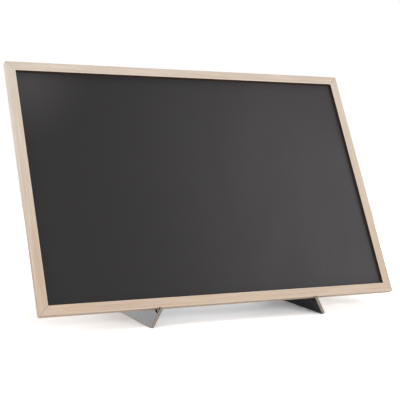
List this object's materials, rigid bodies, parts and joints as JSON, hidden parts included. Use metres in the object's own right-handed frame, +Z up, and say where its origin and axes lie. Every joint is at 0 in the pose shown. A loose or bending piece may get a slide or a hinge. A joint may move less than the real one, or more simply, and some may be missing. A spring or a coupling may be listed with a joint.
{
  "type": "chalkboard with stand",
  "caption": "Wood-framed black chalkboard that leans back on a folding black stand, whose splayed wings carry the frame's lower edge in notches.",
  "frame": {"origin": "on the floor, under the middle of the whole", "axes": "+X along the board's width, to the right as seen from the front; -Y is the front; +Z is up"},
  "size_m": [0.6, 0.2018, 0.3813],
  "materials": {
    "pale_wood": "bare pale wood with fine straight grain, sanded, inner walls dark",
    "chalk_surface": "thin fibreboard with a matt charcoal chalk coating on its face",
    "black_board": "fibreboard with black satin faces and raw brown cut edges",
    "nail_steel": "plain wire steel",
    "hinge_steel": "zinc plated"
  },
  "bodies": {
    "stand": {"stand_panel": "black_board", "right_lower_panel_leaf": "hinge_steel", "right_lower_panel_leaf_screw_1": "hinge_steel", "right_lower_panel_leaf_screw_2": "hinge_steel", "right_lower_hinge_pin": "hinge_steel", "right_upper_panel_leaf": "hinge_steel", "right_upper_panel_leaf_screw_1": "hinge_steel", "right_upper_panel_leaf_screw_2": "hinge_steel", "right_upper_hinge_pin": "hinge_steel", "left_lower_panel_leaf": "hinge_steel", "left_lower_panel_leaf_screw_1": "hinge_steel", "left_lower_panel_leaf_screw_2": "hinge_steel", "left_lower_hinge_pin": "hinge_steel", "left_upper_panel_leaf": "hinge_steel", "left_upper_panel_leaf_screw_1": "hinge_steel", "left_upper_panel_leaf_screw_2": "hinge_steel", "left_upper_hinge_pin": "hinge_steel"},
    "board": {"bottom_rail": "pale_wood", "left_rail": "pale_wood", "top_rail": "pale_wood", "right_rail": "pale_wood", "chalk_panel": "chalk_surface", "lower_left_mitre_nail": "nail_steel", "upper_left_mitre_nail": "nail_steel", "upper_right_mitre_nail": "nail_steel", "lower_right_mitre_nail": "nail_steel", "bottom_panel_nail_1": "nail_steel", "bottom_panel_nail_2": "nail_steel", "bottom_panel_nail_3": "nail_steel", "left_panel_nail_1": "nail_steel", "left_panel_nail_2": "nail_steel", "top_panel_nail_1": "nail_steel", "top_panel_nail_2": "nail_steel", "top_panel_nail_3": "nail_steel", "right_panel_nail_1": "nail_steel", "right_panel_nail_2": "nail_steel"},
    "right_side": {"right_wing": "black_board", "right_lower_wing_leaf": "hinge_steel", "right_lower_wing_leaf_screw_1": "hinge_steel", "right_lower_wing_leaf_screw_2": "hinge_steel", "right_upper_wing_leaf": "hinge_steel", "right_upper_wing_leaf_screw_1": "hinge_steel", "right_upper_wing_leaf_screw_2": "hinge_steel"},
    "left_side": {"left_wing": "black_board", "left_lower_wing_leaf": "hinge_steel", "left_lower_wing_leaf_screw_1": "hinge_steel", "left_lower_wing_leaf_screw_2": "hinge_steel", "left_upper_wing_leaf": "hinge_steel", "left_upper_wing_leaf_screw_1": "hinge_steel", "left_upper_wing_leaf_screw_2": "hinge_steel"}
  },
  "joints": [
    {"name": "board_lift", "type": "slide", "parent": "stand", "child": "board", "axis": [0, 0.4726, 0.8813], "range_m": [0, 0.25]},
    {"name": "right_wing_fold", "type": "hinge", "parent": "stand", "child": "right_side", "pos_m": [0.13378, -0.06791, 0.04454], "axis": [-0.4272, 0.4272, 0.7968], "range_deg": [0, 102.9]},
    {"name": "left_wing_fold", "type": "hinge", "parent": "stand", "child": "left_side", "pos_m": [-0.10378, -0.06791, 0.04454], "axis": [-0.4272, -0.4272, -0.7968], "range_deg": [0, 102.9]}
  ],
  "couplings": [
    {"joint": "right_wing_fold", "follows": "board_lift", "rad_per_m": 7.18},
    {"joint": "left_wing_fold", "follows": "board_lift", "rad_per_m": 7.18}
  ]
}
